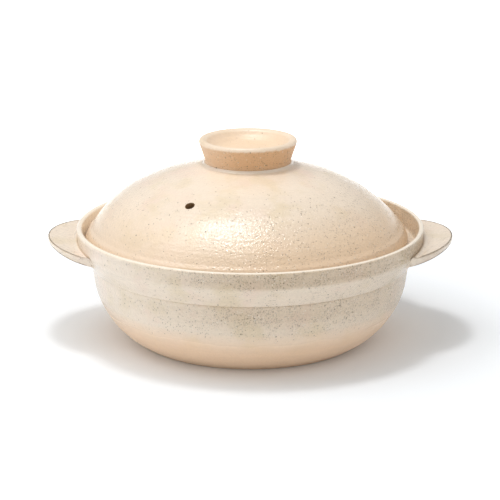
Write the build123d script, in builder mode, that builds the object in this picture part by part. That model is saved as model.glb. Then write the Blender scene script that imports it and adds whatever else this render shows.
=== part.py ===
from build123d import *
from math import atan, cos, degrees, dist, radians, sin, tan
import os

# Donabe clay pot: a thrown bowl with two lug handles, and a domed lid with a ring knob.
# The pot stands on Z = 0, the bowl's axis is Z, and the handles point along -X and +X.

# Bowl, outside
rim_radius = 132.5
rim_height = 87.3
lip_thickness = 4.2
belly_overhang = 34.8
base_edge_round = 0.8
foot_land = 12.0
foot_depth = 1.8
base_angle = 32.4
belly_bend_share = 0.766
wall_angle = 82.7
collar_height = 28.7
step_groove = 0.9
flare_width = 10.2
band_height = 9.6
band_bend = 6.0
cove_depth = 0.7
cove_radius = 9.0

# Bowl, inside
wall = 7.5
floor_thickness = 8.0
floor_bend_share = 0.25
inner_bend_share = 0.7
ledge_depth = 14.1
ledge_width = 11.7
ledge_corner = 1.2
ledge_nose = 2.2
seat_draft = 1.9

# Lid
lid_play = 3.4
lid_shift_share = 0.85
lid_wall = 7.0
lid_height = 63.2
lid_rim_width = 9.0
lid_edge_height = 6.2
lid_edge_round = 1.6
flange_width = 5.6
flange_height = 8.4
flange_roll = 3.0
flange_bend = 3.5
shoulder_rise_share = 3.332
shoulder_bend_share = 0.804
mid_rise_share = 1.237
mid_radius_share = 0.667
mid_drop_share = 0.3826
crown_rise_share = 0.727
crown_bend_share = 0.271
roof_thickness = 8.2
roof_bend = 20.0
steam_hole_radius = 3.3
steam_hole_reach = 80.0
steam_hole_angle = -121.4

# Knob
knob_radius = 37.3
knob_flare = 5.0
knob_height = 17.6
knob_lip = 5.2
dish_flare = 4.9
dish_depth = 8.8
dish_bend = 5.0
glaze_margin = 0.8
glaze_rise = 1.5
glaze_cove = 2.6

# Handles
handle_length = 22.2
handle_arc = 65.2
handle_drop = 10.2
handle_lift = 2.8
handle_root = 5.4
handle_tip = 2.9
handle_top_round = 0.9
handle_under_round = 1.6

# Share of a lip's thickness that rounds each of its edges
full_round_share = 0.49


def crossing(radius_a, height_a, angle_a, radius_b, height_b, angle_b):
    """Where two straight lines of a profile meet, each given by a point and its rise angle."""
    rise_a = tan(radians(angle_a))
    rise_b = tan(radians(angle_b))
    radius = (height_b - height_a + rise_a * radius_a - rise_b * radius_b) / (rise_a - rise_b)
    return (radius, height_a + rise_a * (radius - radius_a))


def bend(before, corner, after, turn, share):
    """The radius of a corner's arc that takes a share of the shorter run beside the corner."""
    run = min(dist(before, corner), dist(corner, after))
    return share * run / tan(radians(turn / 2))


def inside(radius, height, angle, thickness):
    """A point moved square to a rising line, by a wall's thickness, towards the axis."""
    return (radius - thickness * sin(radians(angle)), height + thickness * cos(radians(angle)))


def revolved_profile(corners, plane, mode=Mode.ADD):
    """Turn a closed half profile of (radius, height, corner radius) about the plane's Y axis."""
    with BuildSketch(plane) as section:
        with BuildLine():
            FilletPolyline(
                [(radius, height) for radius, height, _ in corners],
                radius=[corner for _, _, corner in corners],
                close=True,
            )
        make_face()
    revolve(section.sketch, axis=Axis(plane.origin, plane.y_dir), mode=mode)


# Bowl
step_height = rim_height - collar_height
flare_foot_radius = rim_radius - flare_width
step_radius = flare_foot_radius - step_groove
ledge_height = rim_height - ledge_depth
lip_height = rim_height - lip_thickness / 2
lip_round = lip_thickness * full_round_share
lip_inner_radius = rim_radius - lip_thickness
band_low = lip_height - band_height
seat_radius = lip_inner_radius - seat_draft
base_radius = step_radius - belly_overhang
foot_radius = base_radius - foot_land
base_corner = (base_radius, 0)
step_corner = (step_radius, step_height)
belly_corner = crossing(*base_corner, base_angle, *step_corner, wall_angle)
inner_base = inside(*base_corner, base_angle, wall)
inner_step = inside(*step_corner, wall_angle, wall)
inner_corner = crossing(*inner_base, base_angle, *inner_step, wall_angle)
floor_centre = (0, floor_thickness)
floor_corner = crossing(*inner_base, base_angle, *floor_centre, 0)
belly_turn = wall_angle - base_angle
belly_radius = bend(base_corner, belly_corner, step_corner, belly_turn, belly_bend_share)
floor_bend = bend(floor_centre, floor_corner, inner_corner, base_angle, floor_bend_share)
inner_bend = bend(floor_corner, inner_corner, inner_step, belly_turn, inner_bend_share)

outer_corners = [
    (*base_corner, base_edge_round),
    (*belly_corner, belly_radius),
    (*step_corner, 0),
    (step_radius - step_groove, step_height + step_groove, 0),
    (flare_foot_radius, step_height + 2 * step_groove, 0),
    (rim_radius, band_low, band_bend),
    (rim_radius - cove_depth, band_low + band_height / 2, cove_radius),
    (rim_radius, lip_height, 0),
    (rim_radius, rim_height, lip_round),
]
inner_corners = [
    (lip_inner_radius, rim_height, lip_round),
    (lip_inner_radius, lip_height, 0),
    (seat_radius, ledge_height, ledge_corner),
    (seat_radius - ledge_width, ledge_height, ledge_nose),
    (*inner_step, wall),
    (*inner_corner, inner_bend),
    (*floor_corner, floor_bend),
    (*floor_centre, 0),
]
foot_corners = [
    (0, foot_depth, 0),
    (foot_radius - foot_depth, foot_depth, 0),
    (foot_radius, 0, 0),
]

with BuildPart() as bowl:
    revolved_profile(foot_corners + outer_corners + inner_corners, Plane.XZ)
bowl.part.label = "bowl"


# Lid, dropped in the bowl's gallery and a little off centre in its play
lid_radius = seat_radius - lid_play
lid_shift = lid_play * lid_shift_share
lid_plane = Plane(origin=(-lid_shift, 0, 0), x_dir=(1, 0, 0), z_dir=(0, -1, 0))
knob_seat = ledge_height + lid_height
flange_radius = lid_radius - flange_width
flange_top = ledge_height + lid_edge_height + flange_height
knob_neck_radius = knob_radius - knob_flare
dome_height = knob_seat - flange_top
dome_pitch = dome_height / flange_radius
crown_angle = degrees(atan(dome_pitch * crown_rise_share))
mid_angle = degrees(atan(dome_pitch * mid_rise_share))
shoulder_angle = degrees(atan(dome_pitch * shoulder_rise_share))
mid_radius = lid_radius * mid_radius_share
mid_height = knob_seat - dome_height * mid_drop_share
crown_line = (knob_neck_radius, knob_seat - glaze_rise, -crown_angle)
mid_line = (mid_radius, mid_height, -mid_angle)
shoulder_line = (flange_radius, flange_top, -shoulder_angle)
crown_corner = crossing(*crown_line, *mid_line)
shoulder_corner = crossing(*mid_line, *shoulder_line)
crown_turn = mid_angle - crown_angle
shoulder_turn = shoulder_angle - mid_angle
crown_bend = bend(crown_line[:2], crown_corner, shoulder_corner, crown_turn, crown_bend_share)
shoulder_bend = bend(
    crown_corner, shoulder_corner, shoulder_line[:2], shoulder_turn, shoulder_bend_share
)
inner_crown = (*inside(*crown_line, -lid_wall), -crown_angle)
inner_mid = (*inside(*mid_line, -lid_wall), -mid_angle)
inner_shoulder = (*inside(*shoulder_line, -lid_wall), -shoulder_angle)
roof_line = (0, knob_seat - roof_thickness, 0)
glaze_foot = knob_neck_radius + glaze_margin * 2
glaze_foot_height = knob_seat - glaze_rise - tan(radians(crown_angle)) * glaze_margin * 2

lid_corners = [
    (0, knob_seat, 0),
    (knob_neck_radius + glaze_margin, knob_seat, 0),
    (glaze_foot, glaze_foot_height, glaze_cove),
    (*crown_corner, crown_bend),
    (*shoulder_corner, shoulder_bend),
    (flange_radius, flange_top, 0),
    (flange_radius + flange_roll, flange_top - flange_roll / 2, flange_bend),
    (lid_radius, ledge_height + lid_edge_height, flange_bend / 2),
    (lid_radius, ledge_height, lid_edge_round),
    (lid_radius - lid_rim_width, ledge_height, lid_edge_round / 2),
    (inner_shoulder[0], inner_shoulder[1], lid_wall),
    (*crossing(*inner_mid, *inner_shoulder), shoulder_bend - lid_wall),
    (*crossing(*inner_crown, *inner_mid), crown_bend - lid_wall),
    (*crossing(*inner_crown, *roof_line), roof_bend),
    (0, knob_seat - roof_thickness, 0),
]

hole_turn = radians(steam_hole_angle)
hole_tilt = radians(mid_angle)
hole_height = mid_height + tan(hole_tilt) * (mid_radius - steam_hole_reach)
hole_place = Plane(
    origin=(
        steam_hole_reach * cos(hole_turn) - lid_shift,
        steam_hole_reach * sin(hole_turn),
        hole_height,
    ),
    z_dir=(
        sin(hole_tilt) * cos(hole_turn),
        sin(hole_tilt) * sin(hole_turn),
        cos(hole_tilt),
    ),
)

with BuildPart() as lid:
    revolved_profile(lid_corners, lid_plane)
    with Locations(hole_place):
        Cylinder(steam_hole_radius, 4 * lid_wall, mode=Mode.SUBTRACT)
lid.part.label = "lid"


# Knob, a flared ring with a dished top, luted on the lid's flat seat
knob_top = knob_seat + knob_height
knob_lip_height = knob_top - knob_lip / 2
knob_lip_round = knob_lip * full_round_share
dish_height = knob_top - dish_depth
dish_floor_radius = knob_radius - knob_lip - dish_flare
knob_corners = [
    (0, knob_seat, 0),
    (knob_neck_radius, knob_seat, 0),
    (knob_radius, knob_lip_height, 0),
    (knob_radius, knob_top, knob_lip_round),
    (knob_radius - knob_lip, knob_top, knob_lip_round),
    (knob_radius - knob_lip, knob_lip_height, 0),
    (dish_floor_radius, dish_height, dish_bend),
    (0, dish_height, 0),
]

with BuildPart() as lid_knob:
    revolved_profile(knob_corners, lid_plane)
lid_knob.part.label = "lid_knob"


# Handles, two flat lugs cut to the bowl's side and luted to it under the lip
handle_top = rim_height - handle_drop
handle_reach = rim_radius + handle_length
handle_centre = handle_reach - handle_arc
top_rise = handle_lift / handle_length
under_rise = (handle_lift + handle_root - handle_tip) / handle_length
bowl_shape = [(0, 0, 0)] + outer_corners + [(0, rim_height, 0)]


def lug(side):
    """One handle on the -X or +X side: a round flat lug that rises and thins to its tip."""
    with BuildPart() as handle:
        with BuildSketch(Plane.XZ) as side_view:
            with BuildLine():
                Polyline(
                    (0, handle_top - top_rise * rim_radius),
                    (side * handle_reach, handle_top + handle_lift),
                    (side * handle_reach, handle_top + handle_lift - handle_tip),
                    (0, handle_top - handle_root - under_rise * rim_radius),
                    close=True,
                )
            make_face()
        extrude(side_view.sketch, amount=handle_arc, both=True)
        with BuildSketch(Plane.XY) as plan:
            with Locations((side * handle_centre, 0)):
                Circle(handle_arc)
        extrude(plan.sketch, amount=rim_height, mode=Mode.INTERSECT)
        rims = handle.edges().filter_by(GeomType.ELLIPSE).sort_by(Axis.Z)
        fillet(rims[-1], handle_top_round)
        rims = handle.edges().filter_by(GeomType.ELLIPSE).sort_by(Axis.Z)
        fillet(rims[0], handle_under_round)
        revolved_profile(bowl_shape, Plane.XZ, mode=Mode.SUBTRACT)
    return handle.part


handle_left = lug(-1)
handle_left.label = "handle_left"
handle_right = lug(1)
handle_right.label = "handle_right"

os.makedirs("parts", exist_ok=True)
export_step(bowl.part, "parts/bowl.step")
export_step(handle_left, "parts/handle_left.step")
export_step(handle_right, "parts/handle_right.step")
export_step(lid.part, "parts/lid.step")
export_step(lid_knob.part, "parts/lid_knob.step")
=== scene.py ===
from math import acos, atan2, ceil, cos, hypot, pi, radians, sin, tan

import bmesh
import bpy
from mathutils import Matrix, Vector, noise


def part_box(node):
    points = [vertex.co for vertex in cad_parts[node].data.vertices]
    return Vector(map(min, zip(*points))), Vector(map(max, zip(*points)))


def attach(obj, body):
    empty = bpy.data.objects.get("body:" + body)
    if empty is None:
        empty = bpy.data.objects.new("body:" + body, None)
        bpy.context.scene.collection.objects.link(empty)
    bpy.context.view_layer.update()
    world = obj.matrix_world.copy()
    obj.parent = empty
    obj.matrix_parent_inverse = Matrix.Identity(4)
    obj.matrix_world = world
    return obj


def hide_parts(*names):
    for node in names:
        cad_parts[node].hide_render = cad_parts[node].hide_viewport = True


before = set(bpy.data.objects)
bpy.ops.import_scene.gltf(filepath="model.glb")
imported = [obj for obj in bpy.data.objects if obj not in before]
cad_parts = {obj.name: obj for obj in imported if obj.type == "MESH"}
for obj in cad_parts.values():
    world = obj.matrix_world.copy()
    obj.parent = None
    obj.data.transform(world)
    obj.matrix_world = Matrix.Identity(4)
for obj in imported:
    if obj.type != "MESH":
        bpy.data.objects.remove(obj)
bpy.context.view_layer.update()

# Bowl
# A wide round pot of sandy clay, thrown on a wheel: rounded belly, flared collar with a straight band,
# a rounded lip and an inner ledge for the lid. Cream glaze covers it down to the turned lower belly,
# where the bare clay shows.
mm = 0.001
bowl_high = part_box("bowl")[1]
rim_radius = bowl_high.y
rim_height = bowl_high.z
lip_thickness = 4.2 * mm
base_radius = 86.6 * mm
base_edge_round = 0.8 * mm
foot_land = 12.0 * mm
foot_depth = 1.8 * mm
base_slope = radians(32.4)
belly_radius = 57.4 * mm
wall_rise = radians(82.7)
step_radius = 121.4 * mm
step_height = 58.6 * mm
step_groove = 0.3 * mm
flare_foot_radius = 122.3 * mm
band_height = 9.6 * mm
band_bend = 9.0 * mm
cove_depth = 0.7 * mm
cove_radius = 9.0 * mm
wall = 7.5 * mm
floor_thickness = 8.0 * mm
floor_bend = 24.5 * mm
inner_bend = 42.5 * mm
ledge_depth = 14.1 * mm
ledge_width = 11.7 * mm
ledge_nose = 2.2 * mm
seat_draft = 1.9 * mm
soft_edge = 0.5 * mm
full_round_share = 0.48
bowl_turns = 288
profile_run = 2.0 * mm
profile_arc = 1.1 * mm
weld_gap = 0.01 * mm
bowl_mark_depth = 0.10 * mm
bowl_mark_pitch = 4.6 * mm
bowl_sway = 0.25 * mm
mark_fade = 4.0 * mm
mark_lean = 0.55
mark_drift = 5
drift_pitches = 6
drift_pace = 1.3
sway_pace = 1.7
sway_height = 40 * mm
sway_offset = 3
outward_lean = 0.6


def crossing(radius_a, height_a, angle_a, radius_b, height_b, angle_b):
    """Where two straight lines of a half profile meet, each given by a point and its rise."""
    rise_a, rise_b = tan(angle_a), tan(angle_b)
    radius = (height_b - height_a + rise_a * radius_a - rise_b * radius_b) / (rise_a - rise_b)
    return (radius, height_a + rise_a * (radius - radius_a))


def inside(radius, height, angle, thickness):
    """A point moved square to a rising line, by a wall's thickness, towards the axis."""
    return (radius - thickness * sin(angle), height + thickness * cos(angle))


def half_profile(corners, run=profile_run, arc=profile_arc):
    """Open half profile of (radius, height, corner radius), rounded and cut into short runs."""
    mesh = bmesh.new()
    points = [mesh.verts.new((radius, 0, height)) for radius, height, _ in corners]
    for start, end in zip(points, points[1:]):
        mesh.edges.new((start, end))
    turns = []
    for before, here, after, (_, _, corner) in zip(points, points[1:], points[2:], corners[1:]):
        turn = (here.co - before.co).angle(after.co - here.co)
        turns.append((here, corner * tan(turn / 2), corner * turn))
    for point, reach, length in turns:
        if reach > 0:
            bmesh.ops.bevel(
                mesh,
                geom=[point],
                offset=reach,
                offset_type="OFFSET",
                segments=max(3, ceil(length / arc)),
                profile=0.5,
                affect="VERTICES",
                material=-1,
            )
    for edge in list(mesh.edges):
        cuts = ceil(edge.calc_length() / run) - 1
        if cuts > 0:
            bmesh.ops.subdivide_edges(mesh, edges=[edge], cuts=cuts)
    return mesh


def thrown(mesh, turns):
    """The half profile spun round the Z axis, as on a wheel, and closed at its poles and seam."""
    bmesh.ops.spin(
        mesh,
        geom=mesh.verts[:] + mesh.edges[:],
        cent=(0, 0, 0),
        axis=(0, 0, 1),
        dvec=(0, 0, 0),
        angle=2 * pi,
        steps=turns,
        use_merge=True,
        use_duplicate=False,
    )
    bmesh.ops.remove_doubles(mesh, verts=mesh.verts, dist=weld_gap)
    bmesh.ops.recalc_face_normals(mesh, faces=mesh.faces)


def hand_marks(mesh, low, high, depth, pitch, sway, fade=mark_fade):
    """Shallow spiral finger lines and a slow unevenness, pressed into the outside between two heights."""
    mesh.normal_update()
    moves = []
    for vert in mesh.verts:
        radius = hypot(vert.co.x, vert.co.y)
        outward = Vector((vert.co.x, vert.co.y, radius * outward_lean))
        if radius < fade or vert.normal.dot(outward) <= 0:
            continue
        edge = min(vert.co.z - low, high - vert.co.z) / fade
        strength = min(1.0, max(0.0, edge))
        angle = atan2(vert.co.y, vert.co.x)
        around = Vector((cos(angle), sin(angle), 0))
        path = vert.co.z - mark_lean * radius
        drift = noise.noise(around * drift_pace + Vector((0, 0, path / (drift_pitches * pitch))))
        spiral = sin(2 * pi * path / pitch + angle + mark_drift * drift)
        uneven = noise.noise(around * sway_pace + Vector((sway_offset, 0, vert.co.z / sway_height)))
        press = depth * (1 + spiral) / 2 + sway * (1 + uneven) / 2
        moves.append((vert, vert.normal * (-press * strength)))
    for vert, move in moves:
        vert.co += move


def clay_piece(name, mesh, material, body, node):
    """The finished mesh as a smooth piece that rides on its body and stands for its node."""
    data = bpy.data.meshes.new(name)
    mesh.to_mesh(data)
    mesh.free()
    data.polygons.foreach_set("use_smooth", [True] * len(data.polygons))
    data.materials.append(material)
    piece = bpy.data.objects.new(name, data)
    bpy.context.scene.collection.objects.link(piece)
    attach(piece, body)
    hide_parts(node)
    return piece


def paint(red, green, blue):
    """A colour as it is seen, 0 to 255, as the shader's linear colour."""
    shares = [value / 255 for value in (red, green, blue)]
    linear = [share / 12.92 if share <= 0.04045 else ((share + 0.055) / 1.055) ** 2.4 for share in shares]
    return (*linear, 1.0)


def add_node(tree, kind, sockets=(), **settings):
    """A shader node with its settings, and its sockets set or linked."""
    node = tree.nodes.new(kind)
    for setting, value in settings.items():
        setattr(node, setting, value)
    for socket, value in dict(sockets).items():
        if isinstance(value, bpy.types.NodeSocket):
            tree.links.new(value, node.inputs[socket])
        else:
            node.inputs[socket].default_value = value
    return node


def maths(tree, operation, *values, clamp=False):
    """A Math node on sockets or numbers."""
    node = add_node(tree, "ShaderNodeMath", enumerate(values), operation=operation, use_clamp=clamp)
    return node.outputs[0]


def blend(tree, share, colour_a, colour_b, kind="MIX"):
    """A colour mix on sockets or colours. A Mix node has its colours at 6 and 7, and their mix at 2."""
    node = add_node(tree, "ShaderNodeMix", data_type="RGBA", blend_type=kind)
    for socket, value in ((0, share), (6, colour_a), (7, colour_b)):
        if isinstance(value, bpy.types.NodeSocket):
            tree.links.new(value, node.inputs[socket])
        else:
            node.inputs[socket].default_value = value
    return node.outputs[2]


def step_up(tree, value, low, high):
    """0 below low, 1 above high, and smooth between them."""
    node = add_node(
        tree,
        "ShaderNodeMapRange",
        {"Value": value, "From Min": low, "From Max": high},
        interpolation_type="SMOOTHSTEP",
    )
    return node.outputs[0]


cloud_roughness = 0.55
dot_spread = 0.6


def cloud(tree, place, size, detail=3.0, stretch=(1, 1, 1), offset=0.0):
    """Soft noise of a grain size in millimetres, about 0 to 1. Each offset gives other noise."""
    moved = add_node(
        tree,
        "ShaderNodeMapping",
        {"Vector": place, "Location": (offset, 0, 0), "Scale": [share / size for share in stretch]},
    )
    node = add_node(
        tree,
        "ShaderNodeTexNoise",
        {"Vector": moved.outputs[0], "Scale": 1.0, "Detail": detail, "Roughness": cloud_roughness},
    )
    return node.outputs["Fac"]


def dots(tree, place, spacing, size, share, offset=0.0):
    """Round dots of a size in millimetres, in a share of the cells of a grid that far apart."""
    moved = add_node(
        tree,
        "ShaderNodeMapping",
        {"Vector": place, "Location": (offset, 0, 0), "Scale": [1 / spacing] * 3},
    )
    cells = add_node(tree, "ShaderNodeTexVoronoi", {"Vector": moved.outputs[0], "Scale": 1.0}, feature="F1")
    channels = add_node(tree, "ShaderNodeSeparateColor", {"Color": cells.outputs["Color"]})
    spread = size * dot_spread / spacing
    radius = maths(tree, "MULTIPLY_ADD", channels.outputs[1], spread, size * (1 - dot_spread) / spacing)
    inner = maths(tree, "MULTIPLY", radius, 0.5)
    away = maths(tree, "SUBTRACT", cells.outputs["Distance"], inner)
    soft = maths(tree, "DIVIDE", away, inner)
    round_dot = maths(tree, "SUBTRACT", 1.0, soft, clamp=True)
    chosen = maths(tree, "LESS_THAN", channels.outputs[0], share)
    return maths(tree, "MULTIPLY", round_dot, chosen)


# Patterns of the glaze and of its painted glints and shade, with their sizes in millimetres
pink_patch = 34.0
pink_range = (0.5, 0.72)
straw_patch = 26.0
straw_range = (0.48, 0.7)
straw_strength = 0.7
streak_size = 3.2
streak_stretch = (0.035, 0.035, 1.0)
streak_shade = 0.10
streak_height = 0.6
mottle_size = 2.2
mottle_shade = 0.12
crowd_size = 11.0
crowd_range = (0.36, 0.66)
crowd_strength = 0.7
ash_and_shade_power = 1.6
ash_and_shade_strength = 0.5
iron_spacing = 2.3
iron_size = 0.85
iron_share = 0.36
iron_strength = 0.6
pit_spacing = 1.15
pit_size = 0.6
pit_share = 0.9
pit_shade_strength = 0.42
glint_spacing = 1.5
glint_size = 0.7
glint_share = 0.55
glint_strength = 0.5
glint_height = 0.5
grit_size = 1.1
grit_range = (0.5, 0.66)
grit_strength = 0.32
grain_size = 1.8
grain_depth = 0.27 * mm
grain_in_specks = 4.0
bare_roughness = 0.22
satin = 0.15
glaze_ior = 1.7


def fired_clay(name, bare, tint, bare_cover, tint_cover, speck_cover, gloss=satin):
    """Glazed sandy clay. The three covers turn the place on the piece into shares from 0 to 1."""
    material = bpy.data.materials.new(name)
    material.use_nodes = True
    tree = material.node_tree
    shader = tree.nodes["Principled BSDF"]
    place_node = add_node(tree, "ShaderNodeTexCoord")
    scaled = add_node(
        tree,
        "ShaderNodeVectorMath",
        {0: place_node.outputs["Object"], "Scale": 1 / mm},
        operation="SCALE",
    )
    place = scaled.outputs[0]

    # Glaze: wide patches of pink and straw on cream, throwing streaks, and a fine mottle
    pink = step_up(tree, cloud(tree, place, pink_patch, offset=7.0), *pink_range)
    yellow = step_up(tree, cloud(tree, place, straw_patch, offset=19.0), *straw_range)
    glaze = blend(tree, pink, cream, blush)
    glaze = blend(tree, maths(tree, "MULTIPLY", yellow, straw_strength), glaze, straw)
    glaze = blend(tree, tint_cover(tree, place), glaze, tint)
    streak = cloud(tree, place, streak_size, 4.0, streak_stretch, 3.0)
    mottle = cloud(tree, place, mottle_size, 4.0, offset=11.0)
    shade = maths(tree, "MULTIPLY_ADD", streak, streak_shade, 1 - streak_shade / 2)
    mottled = maths(tree, "MULTIPLY_ADD", mottle, mottle_shade, 1 - mottle_shade / 2)
    shade = maths(tree, "MULTIPLY", shade, mottled)

    # Bare clay where the glaze stops or runs thin
    thin = bare_cover(tree, place)
    colour = blend(tree, thin, glaze, bare)
    colour = blend(tree, 1.0, colour, shade, "MULTIPLY")

    # Iron specks, open pits painted dark partly as their shade, and pale grains painted bright partly as
    # glints, thick in some zones, where the glaze is greyer too, partly as painted shade
    cover = speck_cover(tree, place)
    crowd = step_up(tree, cloud(tree, place, crowd_size, 3.0, offset=31.0), *crowd_range)
    crowd = maths(tree, "MULTIPLY_ADD", crowd, crowd_strength, 1 - crowd_strength)
    share = maths(tree, "MULTIPLY", cover, crowd)
    greyed_and_shaded = maths(tree, "MULTIPLY", maths(tree, "POWER", cover, ash_and_shade_power), ash_and_shade_strength)
    colour = blend(tree, greyed_and_shaded, colour, ash_and_shade)
    iron = dots(tree, place, iron_spacing, iron_size, maths(tree, "MULTIPLY", share, iron_share))
    pits = dots(tree, place, pit_spacing, pit_size, maths(tree, "MULTIPLY", share, pit_share), 5.0)
    glints = dots(tree, place, glint_spacing, glint_size, maths(tree, "MULTIPLY", share, glint_share), 13.0)
    grit = step_up(tree, cloud(tree, place, grit_size, 2.0, offset=71.0), *grit_range)
    grit = maths(tree, "MULTIPLY", grit, share)
    colour = blend(tree, maths(tree, "MULTIPLY", grit, grit_strength), colour, iron_speck_and_pit_shade)
    colour = blend(tree, maths(tree, "MULTIPLY", glints, glint_strength), colour, pale_grain_and_glint)
    colour = blend(tree, maths(tree, "MULTIPLY", pits, pit_shade_strength), colour, iron_speck_and_pit_shade)
    colour = blend(tree, maths(tree, "MULTIPLY", iron, iron_strength), colour, iron_speck_and_pit_shade)
    tree.links.new(colour, shader.inputs["Base Color"])

    # Satin gloss that breaks up over a fine pitted grain
    grain = cloud(tree, place, grain_size, 3.0, offset=23.0)
    rough = maths(tree, "MULTIPLY_ADD", thin, bare_roughness, gloss)
    tree.links.new(rough, shader.inputs["Roughness"])
    shader.inputs["IOR"].default_value = glaze_ior
    holes = maths(tree, "MAXIMUM", iron, pits)
    coarse = maths(tree, "MULTIPLY", grain, maths(tree, "MULTIPLY_ADD", cover, grain_in_specks, 1.0))
    height = maths(tree, "SUBTRACT", coarse, holes)
    height = maths(tree, "MULTIPLY_ADD", glints, glint_height, height)
    height = maths(tree, "MULTIPLY_ADD", streak, streak_height, height)
    bump = add_node(tree, "ShaderNodeBump", {"Strength": 1.0, "Distance": grain_depth, "Height": height})
    tree.links.new(bump.outputs[0], shader.inputs["Normal"])
    return material


def height_of(tree, place):
    """Height above the table in millimetres."""
    return add_node(tree, "ShaderNodeSeparateXYZ", {0: place}).outputs[2]


def side_of(tree, place):
    """Distance to the right of the bowl's axis in millimetres."""
    return add_node(tree, "ShaderNodeSeparateXYZ", {0: place}).outputs[0]


def axis_distance(tree, place, axis_x=0.0):
    """Distance from an upright axis in millimetres."""
    flat = add_node(tree, "ShaderNodeVectorMath", {0: place, 1: (axis_x, 0, 0)}, operation="SUBTRACT")
    flat = add_node(tree, "ShaderNodeVectorMath", {0: flat.outputs[0], 1: (1, 1, 0)}, operation="MULTIPLY")
    return add_node(tree, "ShaderNodeVectorMath", {0: flat.outputs[0]}, operation="LENGTH").outputs["Value"]


def between(tree, value, low, high, soft):
    """1 between two values, fading to 0 over a soft distance outside them."""
    rising = step_up(tree, value, low - soft, low)
    falling = step_up(tree, value, high, high + soft)
    return maths(tree, "MULTIPLY", rising, maths(tree, "SUBTRACT", 1.0, falling))


cream = paint(245, 229, 209)
blush = paint(244, 222, 203)
straw = paint(235, 217, 186)
# Warm glaze on the knob's dish and the lugs' edges, and painted warm bounce light low on the lid
warm_glaze_and_bounce = paint(240, 210, 176)
# Painted light: a paler cream for the bowl's lip highlight and its shaded inner collar
painted_light_cream = paint(254, 241, 222)
# Ash grey of the glaze, also painted shade in the speck zones
ash_and_shade = paint(202, 168, 120)
# Pale grains, also painted bright as glints of light on pit rims
pale_grain_and_glint = paint(252, 244, 232)
bare_clay = paint(252, 217, 182)
# Iron specks, also the dark of the pits, partly painted shade
iron_speck_and_pit_shade = paint(98, 78, 56)
# Where the bowl's glaze, its painted light and its painted shade change, in millimetres from the table or
# the axis
glaze_line = 28.0
glaze_fade_below = 9.0
glaze_fade_above = 18.0
glaze_wander = 6.0
wander_patch = 30.0
bare_strength = 0.88
wall_lean = 0.9
wall_side_low = 83.5
wall_side_high = 86.0
foot_edge = 3.0
foot_edge_soft = 0.5
painted_light_low = 70.0
painted_light_high = 76.0
lip_inner_line = 128.0
lip_outer_line = 129.5
lip_low = 85.9
lip_high = 86.8
step_line = 59.2
step_edge = 1.0
step_zone_low = 52.0
step_zone_soft = 22.0
step_zone_strength = 0.75
band_line = 76.5
band_top_line = 86.0
band_soft = 4.0
zone_strength = 0.65
speck_left = -115.0
speck_right = 10.0
speck_and_shade_side_strength = 0.88
speck_glaze_rise = 8.0
speck_wall_low = 100.0
speck_wall_high = 112.0
speck_lip_low = 86.3
speck_lip_high = 87.0


def bowl_bare(tree, place):
    """The glaze runs thin under the turned belly's line, on the outside and on the foot."""
    height = height_of(tree, place)
    wander = cloud(tree, place, wander_patch, 2.0, offset=41.0)
    wander = maths(tree, "MULTIPLY_ADD", wander, glaze_wander, height)
    glazed = step_up(tree, wander, glaze_line - glaze_fade_below, glaze_line + glaze_fade_above)
    belly = maths(tree, "SUBTRACT", 1.0, glazed)
    wall_side = maths(tree, "MULTIPLY_ADD", height, -wall_lean, axis_distance(tree, place))
    outer_wall = step_up(tree, wall_side, wall_side_low, wall_side_high)
    foot = step_up(tree, height, foot_edge, foot_edge - foot_edge_soft)
    outside = maths(tree, "MAXIMUM", outer_wall, foot)
    return maths(tree, "MULTIPLY", maths(tree, "MULTIPLY", belly, outside), bare_strength)


def bowl_painted_light(tree, place):
    """Painted light: the lip is painted paler as its highlight, and the inside of the collar is painted
    paler to lift its shade.
    """
    distance, height = axis_distance(tree, place), height_of(tree, place)
    collar = step_up(tree, height, painted_light_low, painted_light_high)
    outer = step_up(tree, distance, lip_inner_line, lip_outer_line)
    inner_collar = maths(tree, "SUBTRACT", collar, outer, clamp=True)
    return maths(tree, "MAXIMUM", inner_collar, step_up(tree, height, lip_low, lip_high))


def bowl_specks(tree, place):
    """Specks crowd in the collar's band and under its step, more on the right, and end at the belly.
    Through the ash grey the same zones are painted darker, as painted shade under the lip and the step and
    on the right side.
    """
    height = height_of(tree, place)
    band = between(tree, height, band_line, band_top_line, band_soft)
    under_step = between(tree, height, step_zone_low, step_line, step_zone_soft)
    below_step = step_up(tree, height, step_line + step_edge, step_line)
    under_step = maths(tree, "MULTIPLY", under_step, below_step)
    zones = maths(tree, "MAXIMUM", band, maths(tree, "MULTIPLY", under_step, step_zone_strength))
    zones = maths(tree, "MULTIPLY_ADD", zones, zone_strength, 1 - zone_strength)
    # Painted shade: specks and grey grow towards the right side, away from the lamps
    right = step_up(tree, side_of(tree, place), speck_left, speck_right)
    right = maths(tree, "MULTIPLY_ADD", right, speck_and_shade_side_strength, 1 - speck_and_shade_side_strength)
    glazed = step_up(tree, height, glaze_line, glaze_line + speck_glaze_rise)
    outside = step_up(tree, axis_distance(tree, place), speck_wall_low, speck_wall_high)
    below_lip = maths(tree, "SUBTRACT", 1.0, step_up(tree, height, speck_lip_low, speck_lip_high))
    glazed_outside = maths(tree, "MULTIPLY", glazed, outside)
    zones = maths(tree, "MULTIPLY", maths(tree, "MULTIPLY", zones, right), glazed_outside)
    return maths(tree, "MULTIPLY", zones, below_lip)


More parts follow.
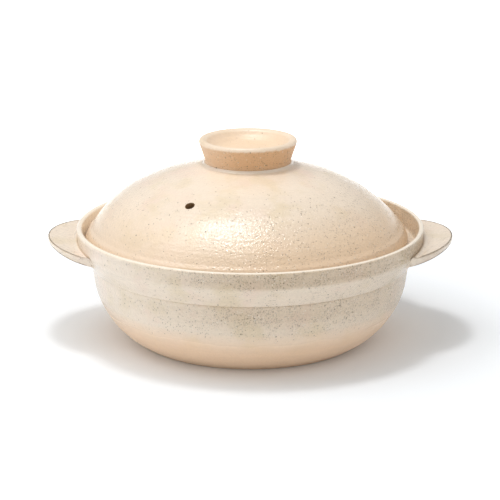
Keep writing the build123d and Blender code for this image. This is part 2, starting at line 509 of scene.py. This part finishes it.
ledge_height = rim_height - ledge_depth
lip_height = rim_height - lip_thickness / 2
lip_round = lip_thickness * full_round_share
lip_inner_radius = rim_radius - lip_thickness
band_low = lip_height - band_height
seat_radius = lip_inner_radius - seat_draft
foot_radius = base_radius - foot_land
belly_corner = crossing(base_radius, 0, base_slope, step_radius, step_height, wall_rise)
inner_base = inside(base_radius, 0, base_slope, wall)
inner_step = inside(step_radius, step_height, wall_rise, wall)
inner_corner = crossing(*inner_base, base_slope, *inner_step, wall_rise)
floor_corner = crossing(*inner_base, base_slope, 0, floor_thickness, 0)
bowl_corners = [
    (0, foot_depth, 0),
    (foot_radius - foot_depth, foot_depth, soft_edge),
    (foot_radius, 0, soft_edge),
    (base_radius, 0, base_edge_round),
    (*belly_corner, belly_radius),
    (step_radius, step_height, soft_edge),
    (step_radius - step_groove, step_height + step_groove, soft_edge / 2),
    (flare_foot_radius, step_height + 2 * step_groove, soft_edge),
    (rim_radius, band_low, band_bend),
    (rim_radius - cove_depth, band_low + band_height / 2, cove_radius),
    (rim_radius, lip_height, 0),
    (rim_radius, rim_height, lip_round),
    (lip_inner_radius, rim_height, lip_round),
    (lip_inner_radius, lip_height, 0),
    (seat_radius, ledge_height, soft_edge * 2),
    (seat_radius - ledge_width, ledge_height, ledge_nose),
    (*inner_step, wall),
    (*inner_corner, inner_bend),
    (*floor_corner, floor_bend),
    (0, floor_thickness, 0),
]
bowl_glaze = fired_clay("bowl_glaze", bare_clay, painted_light_cream, bowl_bare, bowl_painted_light, bowl_specks)
bowl_mesh = half_profile(bowl_corners)
thrown(bowl_mesh, bowl_turns)
hand_marks(bowl_mesh, foot_depth * 2, rim_height, bowl_mark_depth, bowl_mark_pitch, bowl_sway)
clay_piece("thrown_bowl", bowl_mesh, bowl_glaze, "pot", "bowl")

# Handles
# Two flat lugs of the same clay, pressed by hand and luted to the collar under the lip. Each rises and
# thins to a round tip, is slightly dished on top, and meets the collar in a small roll of wet clay.
handle_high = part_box("handle_right")[1]
handle_reach = handle_high.x
handle_arc = 65.2 * mm
handle_drop = 10.2 * mm
handle_lift = 2.8 * mm
handle_root = 5.4 * mm
handle_tip = 2.9 * mm
handle_edge_round = 1.35 * mm
root_top_radius = rim_radius - 1.2 * mm
root_low_radius = 126.5 * mm
luting = 4.2 * mm
luting_roll = 1.1 * mm
handle_dish = 0.6 * mm
dish_edge = 9.0 * mm
root_flare = 14 * mm
sharp_edge = radians(50)
edge_cuts = 4
lug_across = 112
lug_along = 52
handle_brown = paint(158, 130, 98)
# Where the handles' glaze changes, in millimetres
worn_strength = 0.25
worn_patch = 9.0
worn_range = (0.38, 0.6)
worn_side_soft = 1.0
worn_edge = 1.4
worn_edge_core = 0.2
warm_edge = 12.0
warm_strength = 0.06
handle_speck_strength = 0.12
handle_speck_heights = (40.0, 50.0)


def handle_edge(tree, place, low, high):
    """How near a place is to the lug's round edge, from 0 at one inset in millimetres to 1 at the other."""
    flat = add_node(tree, "ShaderNodeVectorMath", {0: place}, operation="ABSOLUTE").outputs[0]
    out = axis_distance(tree, flat, (handle_reach - handle_arc) / mm)
    return step_up(tree, out, handle_arc / mm - low, handle_arc / mm - high)


def handle_bare(tree, place):
    """The glaze is thin and brown in places along the right lug's outer edge."""
    worn = step_up(tree, cloud(tree, place, worn_patch, offset=3.0), *worn_range)
    right = step_up(tree, side_of(tree, place), -worn_side_soft, worn_side_soft)
    right = maths(tree, "MULTIPLY", right, worn_strength)
    edge = handle_edge(tree, place, worn_edge, worn_edge_core)
    return maths(tree, "MULTIPLY", edge, maths(tree, "MULTIPLY", worn, right))


def handle_warm(tree, place):
    """A faint warm tint beside the edge."""
    return maths(tree, "MULTIPLY", handle_edge(tree, place, warm_edge, 0.0), warm_strength)


def handle_specks(tree, place):
    """A few specks all over."""
    above_belly = step_up(tree, height_of(tree, place), *handle_speck_heights)
    return maths(tree, "MULTIPLY", above_belly, handle_speck_strength)


handle_glaze = fired_clay(
    "handle_glaze",
    handle_brown,
    warm_glaze_and_bounce,
    handle_bare,
    handle_warm,
    handle_specks,
)


def lug(side):
    """One handle: a grid from the collar's curve to the tip's curve, given its thickness and rounded."""
    handle_top = rim_height - handle_drop
    handle_length = handle_reach - rim_radius
    top_rise = handle_lift / handle_length
    under_rise = (handle_lift + handle_root - handle_tip) / handle_length
    centre = handle_reach - handle_arc
    spread = acos((root_top_radius**2 - centre**2 - handle_arc**2) / (2 * centre * handle_arc))
    root_spread = atan2(handle_arc * sin(spread), centre + handle_arc * cos(spread))
    mesh = bmesh.new()
    bmesh.ops.create_grid(mesh, x_segments=lug_across, y_segments=lug_along, size=1.0)
    for vert in mesh.verts:
        across, along = vert.co.x, (vert.co.y + 1) / 2
        tip = Vector((centre + handle_arc * cos(across * spread), handle_arc * sin(across * spread), 0))
        root = Vector((cos(across * root_spread), sin(across * root_spread), 0)) * root_top_radius
        place = root.lerp(tip, along)
        away = min(1.0, max(0.0, (hypot(place.x, place.y) - root_top_radius) / luting))
        inward = handle_arc - hypot(place.x - centre, place.y)
        dish = handle_dish * min(1.0, max(0.0, inward / dish_edge)) * away
        height = handle_top + top_rise * (place.x - rim_radius) + luting_roll * sin(pi * away) - dish
        vert.co = Vector((place.x, place.y, height))
    made = bmesh.ops.extrude_face_region(mesh, geom=mesh.faces[:])["geom"]
    for vert in (item for item in made if isinstance(item, bmesh.types.BMVert)):
        radius = hypot(vert.co.x, vert.co.y)
        pull = min(1.0, max(0.0, 1 - (radius - root_top_radius) / root_flare))
        vert.co.z = handle_top - handle_root + under_rise * (vert.co.x - rim_radius)
        vert.co.xy *= (radius + (root_low_radius - root_top_radius) * pull**2) / radius
    bmesh.ops.recalc_face_normals(mesh, faces=mesh.faces)
    outer = [
        edge
        for edge in mesh.edges
        if len(edge.link_faces) == 2
        and edge.calc_face_angle() > sharp_edge
        and all(hypot(end.co.x, end.co.y) > rim_radius for end in edge.verts)
    ]
    bmesh.ops.bevel(
        mesh,
        geom=outer,
        offset=handle_edge_round,
        offset_type="OFFSET",
        segments=edge_cuts,
        profile=0.5,
        affect="EDGES",
        material=-1,
    )
    if side < 0:
        bmesh.ops.rotate(mesh, verts=mesh.verts, cent=(0, 0, 0), matrix=Matrix.Rotation(pi, 3, "Z"))
    return mesh


clay_piece("left_lug", lug(-1), handle_glaze, "pot", "handle_left")
clay_piece("right_lug", lug(1), handle_glaze, "pot", "handle_right")

# Lid
# A thrown dome of the same clay and glaze: a shallow crown, a steeper shoulder, and a rolled flange
# that drops into the bowl's ledge, a little off centre. One steam hole is pierced through it.
lid_low, lid_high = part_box("lid")
lid_axis = (lid_low.x + lid_high.x) / 2
lid_radius = (lid_high.x - lid_low.x) / 2
knob_seat = lid_high.z
lid_wall = 7.0 * mm
lid_rim_width = 9.0 * mm
lid_edge_height = 6.2 * mm
lid_edge_round = 1.6 * mm
flange_width = 5.6 * mm
flange_height = 8.4 * mm
flange_roll = 2.4 * mm
flange_bend = 4.5 * mm
shoulder_slope = radians(54.1)
shoulder_bend = 78.4 * mm
crown_slope = radians(16.7)
crown_bend = 110.9 * mm
mid_slope = radians(27.1)
mid_radius = 82.0 * mm
mid_drop = 18.6 * mm
roof_thickness = 8.2 * mm
roof_bend = 20.0 * mm
knob_neck_radius = 32.3 * mm
glaze_margin = 0.8 * mm
glaze_rise = 1.5 * mm
glaze_cove = 2.6 * mm
steam_hole_radius = 3.5 * mm
steam_hole_reach = 80.0 * mm
steam_hole_azimuth = radians(-121.4)
steam_hole_edge = 0.5 * mm
punch_run = 1.0 * mm
punch_arc = 0.15 * mm
punch_turns = 48
lid_turns = 288
lid_mark_depth = 0.07 * mm
lid_mark_pitch = 5.2 * mm
lid_sway = 0.2 * mm
knob_shift = 1.1 * mm
lid_lean = 0.014
hole_stain = paint(164, 132, 96)
hole_roughness = 0.6
# Where the lid's glaze and its painted bounce light change, in millimetres
wiped_low = 0.6
wiped_high = 1.6
warm_patch = 24.0
warm_wander = 16.0
warm_low_line = 90.0
warm_high_line = 126.0
warm_left = -120.0
warm_right = 90.0
warm_side_strength = 0.55
warm_least = 0.4
warm_base = 0.1
speck_low_line = 48.0
speck_high_line = 104.0
flange_speck_low = 116.0
flange_speck_high = 118.0
flange_speck_loss = 0.4
dome_speck_strength = 0.4
dome_speck_least = 0.03
dome_speck_left = -60.0
dome_speck_right = 90.0
dome_speck_side = 0.7


def lid_bare(tree, place):
    """The flange's foot is wiped bare."""
    seat = ledge_height / mm
    glazed = step_up(tree, height_of(tree, place), seat + wiped_low, seat + wiped_high)
    return maths(tree, "SUBTRACT", 1.0, glazed)


def lid_painted_bounce(tree, place):
    """Painted warm bounce light from the collar, low on the dome and on the flange, and more on the right,
    where it is painted shade.
    """
    distance = axis_distance(tree, place, lid_axis / mm)
    wander = cloud(tree, place, warm_patch, 2.0, offset=61.0)
    wander = maths(tree, "MULTIPLY_ADD", wander, warm_wander, distance)
    # Painted shade: the warm tint grows towards the right side
    right = step_up(tree, side_of(tree, place), warm_left, warm_right)
    right = maths(tree, "MULTIPLY_ADD", right, warm_side_strength, warm_least)
    low = maths(tree, "MULTIPLY", step_up(tree, wander, warm_low_line, warm_high_line), right)
    return maths(tree, "MULTIPLY_ADD", low, 1 - warm_base, warm_base)


def lid_specks(tree, place):
    """Specks are few on the crown, thicker low on the dome and on the right, and fewer on the flange."""
    distance = axis_distance(tree, place, lid_axis / mm)
    low = step_up(tree, distance, speck_low_line, speck_high_line)
    flange = step_up(tree, distance, flange_speck_low, flange_speck_high)
    smooth = maths(tree, "SUBTRACT", 1.0, maths(tree, "MULTIPLY", flange, flange_speck_loss))
    right = step_up(tree, side_of(tree, place), dome_speck_left, dome_speck_right)
    right = maths(tree, "MULTIPLY_ADD", right, dome_speck_side, 1 - dome_speck_side)
    zones = maths(tree, "MULTIPLY_ADD", low, dome_speck_strength, dome_speck_least)
    return maths(tree, "MULTIPLY", zones, maths(tree, "MULTIPLY", smooth, right))


lid_glaze = fired_clay("lid_glaze", bare_clay, warm_glaze_and_bounce, lid_bare, lid_painted_bounce, lid_specks)

flange_radius = lid_radius - flange_width
flange_top = ledge_height + lid_edge_height + flange_height
crown_line = (knob_neck_radius, knob_seat - glaze_rise, -crown_slope)
mid_line = (mid_radius, knob_seat - mid_drop, -mid_slope)
shoulder_line = (flange_radius, flange_top, -shoulder_slope)
inner_crown = (*inside(*crown_line, -lid_wall), -crown_slope)
inner_mid = (*inside(*mid_line, -lid_wall), -mid_slope)
inner_shoulder = (*inside(*shoulder_line, -lid_wall), -shoulder_slope)
roof_line = (0, knob_seat - roof_thickness, 0)
glaze_foot = knob_neck_radius + glaze_margin * 2
glaze_foot_height = knob_seat - glaze_rise - tan(crown_slope) * glaze_margin * 2
lid_corners = [
    (0, knob_seat, 0),
    (knob_neck_radius + glaze_margin, knob_seat, 0),
    (glaze_foot, glaze_foot_height, glaze_cove),
    (*crossing(*crown_line, *mid_line), crown_bend),
    (*crossing(*mid_line, *shoulder_line), shoulder_bend),
    (flange_radius, flange_top, soft_edge),
    (flange_radius + flange_roll, flange_top - flange_roll, flange_bend),
    (lid_radius, ledge_height + lid_edge_height, flange_bend / 2),
    (lid_radius, ledge_height, lid_edge_round),
    (lid_radius - lid_rim_width, ledge_height, lid_edge_round / 2),
    (inner_shoulder[0], inner_shoulder[1], lid_wall),
    (*crossing(*inner_mid, *inner_shoulder), shoulder_bend - lid_wall),
    (*crossing(*inner_crown, *inner_mid), crown_bend - lid_wall),
    (*crossing(*inner_crown, *roof_line), roof_bend),
    (0, knob_seat - roof_thickness, 0),
]
lid_mesh = half_profile(lid_corners)
thrown(lid_mesh, lid_turns)
hand_marks(lid_mesh, flange_top, knob_seat - glaze_rise, lid_mark_depth, lid_mark_pitch, lid_sway)


def dome_share(height):
    """How far up the dome a height is, from 0 at the flange to 1 at the knob's seat."""
    return min(1.0, max(0.0, (height - flange_top) / (knob_seat - flange_top)))


# The dome sagged a little in the kiln: it sits lower on the right, and its knob moved that way
for vert in lid_mesh.verts:
    rise = dome_share(vert.co.z)
    vert.co += Vector((lid_axis + knob_shift * rise, 0, -lid_lean * vert.co.x * sin(pi * rise)))


def pierced(piece):
    """The steam hole: a punch with flared ends cuts the wall and leaves soft edges and dark clay."""
    flare_radius = steam_hole_radius + steam_hole_edge
    overrun = 2 * steam_hole_edge
    punch_corners = [
        (0, overrun, 0),
        (flare_radius, overrun, 0),
        (flare_radius, 0, 0),
        (steam_hole_radius, 0, steam_hole_edge),
        (steam_hole_radius, -lid_wall, steam_hole_edge),
        (flare_radius, -lid_wall, 0),
        (flare_radius, -lid_wall - overrun, 0),
        (0, -lid_wall - overrun, 0),
    ]
    punch_mesh = half_profile(punch_corners, punch_run, punch_arc)
    thrown(punch_mesh, punch_turns)
    across = steam_hole_reach * cos(steam_hole_azimuth)
    along = steam_hole_reach * sin(steam_hole_azimuth)
    height = mid_line[1] + tan(mid_slope) * (mid_radius - steam_hole_reach)
    rise = dome_share(height)
    sag = lid_lean * across * sin(pi * rise)
    spot = Vector((across + lid_axis + knob_shift * rise, along, height - sag))
    turn = Matrix.Rotation(steam_hole_azimuth, 4, "Z") @ Matrix.Rotation(mid_slope, 4, "Y")
    bmesh.ops.transform(punch_mesh, verts=punch_mesh.verts, matrix=Matrix.Translation(spot) @ turn)
    data = bpy.data.meshes.new("punch")
    punch_mesh.to_mesh(data)
    punch_mesh.free()
    stain = bpy.data.materials.new("steam_hole_clay")
    stain.use_nodes = True
    shader = stain.node_tree.nodes["Principled BSDF"]
    shader.inputs["Base Color"].default_value = hole_stain
    shader.inputs["Roughness"].default_value = hole_roughness
    data.materials.append(stain)
    punch = bpy.data.objects.new("punch", data)
    bpy.context.scene.collection.objects.link(punch)
    cut = piece.modifiers.new("steam_hole", "BOOLEAN")
    cut.operation = "DIFFERENCE"
    cut.solver = "EXACT"
    cut.material_mode = "TRANSFER"
    cut.object = punch
    bpy.context.view_layer.update()
    graph = bpy.context.evaluated_depsgraph_get()
    holed = bpy.data.meshes.new_from_object(piece.evaluated_get(graph))
    piece.modifiers.clear()
    piece.data = holed
    bpy.data.objects.remove(punch)


lid = clay_piece("domed_lid", lid_mesh, lid_glaze, "lid", "lid")
pierced(lid)

# Knob
# A flared ring with a dished top, luted on the lid before firing. Its side has only a thin wash of glaze
# over the rough orange-brown clay, and its lip and dish are glazed cream.
knob_low, knob_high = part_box("lid_knob")
knob_radius = (knob_high.x - knob_low.x) / 2
knob_top = knob_high.z
knob_lip = 5.2 * mm
dish_floor_radius = 27.2 * mm
dish_depth = 8.8 * mm
dish_bend = 14.0 * mm
dish_lip_bend = 4.5 * mm
knob_luting = 0.8 * mm
knob_run = 1.2 * mm
knob_arc = 0.5 * mm
knob_turns = 160
knob_mark_depth = 0.06 * mm
knob_mark_pitch = 3.1 * mm
knob_sway = 0.25 * mm
knob_mark_fade = 1.5 * mm
knob_clay = paint(234, 182, 132)
knob_roughness = 0.4
# Where the knob's glaze and its painted shade change, in millimetres
ragged_patch = 3.0
ragged_height = 3.0
ragged_low = 2.4
ragged_high = 0.2
knob_wall_lean = 0.25
knob_wall_radius = 30.5
knob_wall_soft = 0.6
shade_left = -40.0
shade_strength = 0.5
bare_least = 0.4
dish_warm_depth = 7.0
dish_warm_strength = 0.4
dish_warm_least = 0.4
knob_speck_strength = 0.55
knob_speck_least = 0.03


def knob_bare(tree, place):
    """The side is nearly bare, up to a ragged line just under the lip, and painted barer towards the right,
    as painted shade on the side away from the lamps.
    """
    height = height_of(tree, place)
    ragged = cloud(tree, place, ragged_patch, offset=51.0)
    ragged = maths(tree, "MULTIPLY_ADD", ragged, ragged_height, height)
    glazed = step_up(tree, ragged, knob_top / mm - ragged_low, knob_top / mm - ragged_high)
    side = maths(tree, "SUBTRACT", 1.0, glazed)
    distance = axis_distance(tree, place, (lid_axis + knob_shift) / mm)
    over_side = maths(tree, "MULTIPLY_ADD", height, -knob_wall_lean, distance)
    wall_line = knob_wall_radius - knob_wall_lean * knob_seat / mm
    outside = step_up(tree, over_side, wall_line, wall_line + knob_wall_soft)
    # Painted shade: more dark bare clay towards the right side
    right = step_up(tree, side_of(tree, place), shade_left, 0.0)
    bare_and_shade = maths(tree, "MULTIPLY_ADD", right, shade_strength, bare_least)
    return maths(tree, "MULTIPLY", maths(tree, "MULTIPLY", side, outside), bare_and_shade)


def knob_warm(tree, place):
    """The dish is warmer towards its foot."""
    low = step_up(tree, height_of(tree, place), knob_top / mm, knob_top / mm - dish_warm_depth)
    return maths(tree, "MULTIPLY_ADD", low, dish_warm_strength, dish_warm_least)


def knob_specks(tree, place):
    """Rough all over the bare side."""
    return maths(tree, "MULTIPLY_ADD", knob_bare(tree, place), knob_speck_strength, knob_speck_least)


knob_glaze = fired_clay(
    "knob_glaze",
    knob_clay,
    warm_glaze_and_bounce,
    knob_bare,
    knob_warm,
    knob_specks,
    gloss=knob_roughness,
)
knob_lip_height = knob_top - knob_lip / 2
knob_lip_round = knob_lip * full_round_share
dish_height = knob_top - dish_depth
knob_corners = [
    (0, knob_seat, 0),
    (knob_neck_radius + knob_luting, knob_seat, 0),
    (knob_neck_radius + knob_luting / 2, knob_seat + 2 * knob_luting, 2 * knob_luting),
    (knob_radius, knob_lip_height, soft_edge),
    (knob_radius, knob_top, knob_lip_round),
    (knob_radius - knob_lip, knob_top, dish_lip_bend),
    (dish_floor_radius, dish_height, dish_bend),
    (0, dish_height, 0),
]
knob_mesh = half_profile(knob_corners, knob_run, knob_arc)
thrown(knob_mesh, knob_turns)
hand_marks(
    knob_mesh,
    knob_seat,
    knob_top,
    knob_mark_depth,
    knob_mark_pitch,
    knob_sway,
    knob_mark_fade,
)
bmesh.ops.translate(knob_mesh, verts=knob_mesh.verts, vec=(lid_axis + knob_shift, 0, 0))
clay_piece("ring_knob", knob_mesh, knob_glaze, "lid", "lid_knob")

# Table
# A plain white table that the pot stands on. It keeps the pot's soft shadow, and glows white further
# out, so that it runs into the white room.
table_size = 8.0
table_glow = 1.0
glow_start = 0.14
glow_full = 0.6
table_white = (1.0, 1.0, 1.0, 1.0)
table_cool = (0.94, 0.97, 1.0, 1.0)
table_data = bpy.data.meshes.new("table")
table_mesh = bmesh.new()
bmesh.ops.create_grid(table_mesh, x_segments=1, y_segments=1, size=table_size / 2)
table_mesh.to_mesh(table_data)
table_mesh.free()
table = bpy.data.objects.new("table", table_data)
bpy.context.scene.collection.objects.link(table)
table_paint = bpy.data.materials.new("table_paint")
table_paint.use_nodes = True
table_tree = table_paint.node_tree
table_tree.nodes.clear()
rays = add_node(table_tree, "ShaderNodeLightPath").outputs
seen = maths(table_tree, "MAXIMUM", rays["Is Camera Ray"], rays["Is Glossy Ray"])
seen = maths(table_tree, "MAXIMUM", seen, rays["Is Transmission Ray"])
table_place = add_node(table_tree, "ShaderNodeTexCoord").outputs["Object"]
far = step_up(table_tree, axis_distance(table_tree, table_place), glow_start, glow_full)
strength = maths(table_tree, "MULTIPLY", maths(table_tree, "MULTIPLY", seen, far), table_glow)
glow = add_node(table_tree, "ShaderNodeEmission", {"Color": table_white, "Strength": strength})
matt = add_node(table_tree, "ShaderNodeBsdfDiffuse", {"Color": table_cool})
both = add_node(table_tree, "ShaderNodeAddShader", {0: matt.outputs[0], 1: glow.outputs[0]})
add_node(table_tree, "ShaderNodeOutputMaterial", {"Surface": both.outputs[0]})
table_data.materials.append(table_paint)

# Light
# A white room, a soft lamp over the pot, and a smaller one beside it whose glint breaks up on the dome.
# Two lamps on the left, one high and one low, are stronger than the one on the right.
room = bpy.data.worlds.new("room")
bpy.context.scene.world = room
room.use_nodes = True
room_light = 0.55
lamp_aim_height = 0.07
room_tree = room.node_tree
room_tree.nodes.clear()
room_rays = add_node(room_tree, "ShaderNodeLightPath").outputs
room_seen = maths(room_tree, "MAXIMUM", room_rays["Is Camera Ray"], room_rays["Is Transmission Ray"])
room_strength = maths(room_tree, "MULTIPLY_ADD", room_seen, 1 - room_light, room_light)
room_air = add_node(room_tree, "ShaderNodeBackground", {"Color": table_white, "Strength": room_strength})
add_node(room_tree, "ShaderNodeOutputWorld", {"Surface": room_air.outputs[0]})


def soft_lamp(name, place, size, power):
    """A square lamp of a size in metres and a power in watts, aimed at the pot's middle."""
    data = bpy.data.lights.new(name, "AREA")
    data.shape = "SQUARE"
    data.size = size
    data.energy = power
    lamp = bpy.data.objects.new(name, data)
    lamp.location = place
    aim = Vector((0, 0, lamp_aim_height)) - Vector(place)
    lamp.rotation_euler = aim.to_track_quat("-Z", "Y").to_euler()
    bpy.context.scene.collection.objects.link(lamp)


soft_lamp("top_lamp", place=(-0.1, -0.18, 1.3), size=0.5, power=1.7)
soft_lamp("glint_lamp", place=(-0.13, -0.09, 1.3), size=0.19, power=4.0)
soft_lamp("side_lamp", place=(-0.62, -0.12, 1.22), size=0.7, power=3.2)
soft_lamp("left_lamp", place=(-1.0, -0.25, 0.45), size=0.6, power=0.9)
soft_lamp("right_lamp", place=(0.9, -0.1, 1.1), size=0.9, power=0.6)

# Camera
# It looks down on the pot from the front, with the pot's axis near the middle of the picture.
camera_distance = 1.4591
camera_pitch = radians(16.29)
target_height = 0.0659
camera_side = -0.00023
camera_data = bpy.data.cameras.new("camera")
camera_data.lens = 136.8
camera_data.sensor_width = 36.0
camera_data.clip_start = 0.05
camera_data.clip_end = 20.0
camera = bpy.data.objects.new("camera", camera_data)
camera.location = (
    camera_side,
    -camera_distance * cos(camera_pitch),
    target_height + camera_distance * sin(camera_pitch),
)
camera.rotation_euler = (pi / 2 - camera_pitch, 0, 0)
bpy.context.scene.collection.objects.link(camera)
bpy.context.scene.camera = camera
bpy.context.scene.view_settings.view_transform = "Standard"
